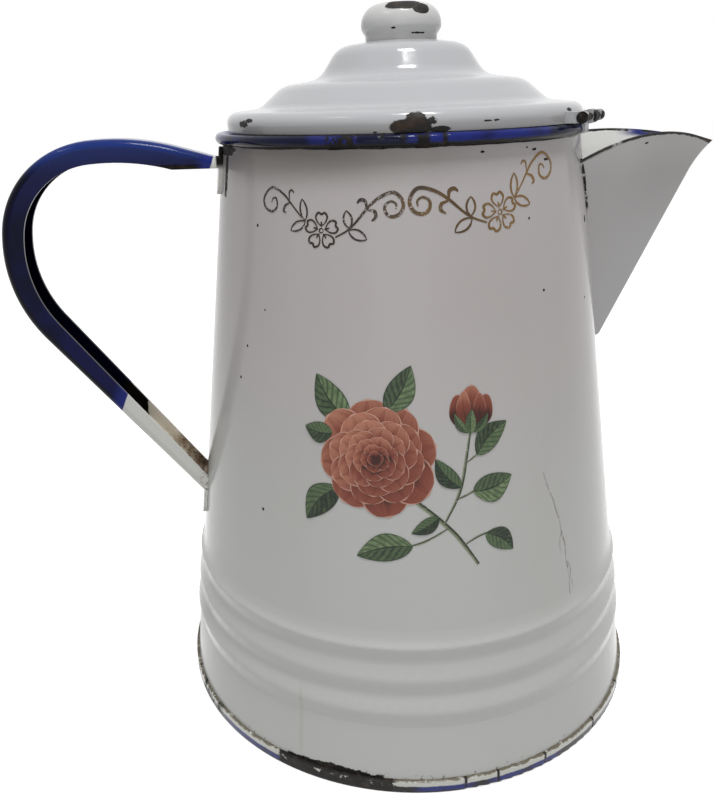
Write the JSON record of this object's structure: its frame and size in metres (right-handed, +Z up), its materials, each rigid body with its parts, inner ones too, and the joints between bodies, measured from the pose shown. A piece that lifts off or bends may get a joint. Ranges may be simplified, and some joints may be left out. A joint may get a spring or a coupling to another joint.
{
  "type": "enamel coffee pot",
  "caption": "Tapered enamelled steel coffee pot with a folded open spout, a channel handle and a stepped lid that opens on a small hinge at the rim.",
  "frame": {"origin": "centre of the foot on the plane the pot stands on", "axes": "+Z up along the body's axis, +X towards the spout's tip"},
  "size_m": [0.2456, 0.1654, 0.2343],
  "materials": {
    "white_enamel": "gloss",
    "white_enamel_lid": "gloss",
    "blue_enamel": "gloss",
    "bare_steel": "worn"
  },
  "bodies": {
    "pot": {"body_shell": "white_enamel", "base_pan": "white_enamel", "spout_shell": "white_enamel", "handle_strap": "blue_enamel", "rim_hinge_lug": "white_enamel"},
    "lid": {"lid_dome": "white_enamel_lid", "lid_collar": "white_enamel_lid", "knob_shell": "white_enamel_lid", "lid_hinge_yoke": "white_enamel_lid", "hinge_pin": "bare_steel"}
  },
  "joints": [
    {"name": "lid_hinge", "type": "hinge", "parent": "pot", "child": "lid", "pos_m": [0.05111, -0.03646, 0.1981], "axis": [0.5807, 0.8141, 0], "range_deg": [0, 105]}
  ]
}
